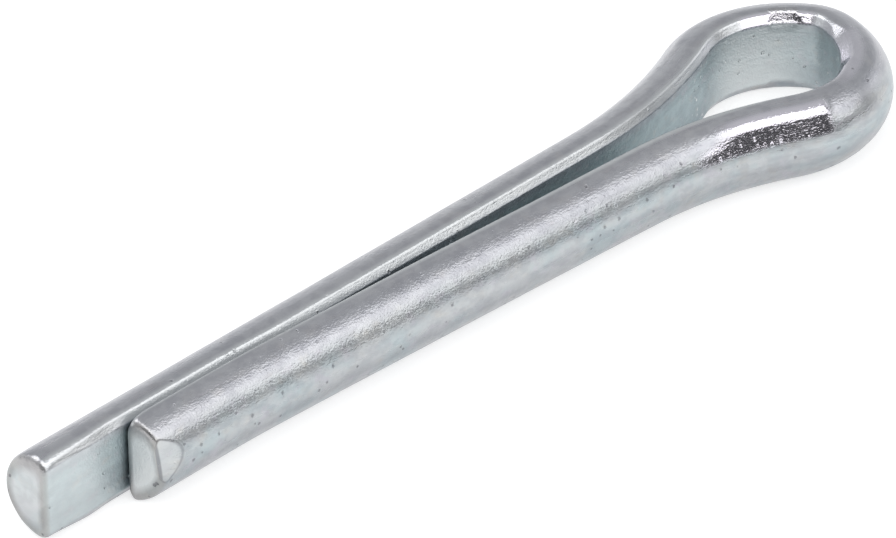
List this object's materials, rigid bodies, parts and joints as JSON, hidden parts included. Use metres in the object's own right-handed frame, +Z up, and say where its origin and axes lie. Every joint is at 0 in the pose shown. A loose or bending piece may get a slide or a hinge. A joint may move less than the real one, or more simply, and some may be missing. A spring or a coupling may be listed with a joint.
{
  "type": "cotter pin",
  "caption": "Split cotter pin: bright zinc-plated half-round wire folded round an eye, with legs of uneven length that pass through a drilled hole and are bent apart to lock it.",
  "frame": {"origin": "on the ground under the middle of the pin's outline, with the pin lying flat", "axes": "+X from the leg ends to the eye, along the closed shank; +Y from the split towards the long leg; +Z up, square to the eye's plane"},
  "size_m": [0.0438, 0.0092, 0.0035],
  "materials": {
    "zinc_plated_steel": "bright zinc plate, drawn satin"
  },
  "bodies": {
    "root": {"cotter_pin": "zinc_plated_steel"}
  },
  "joints": []
}
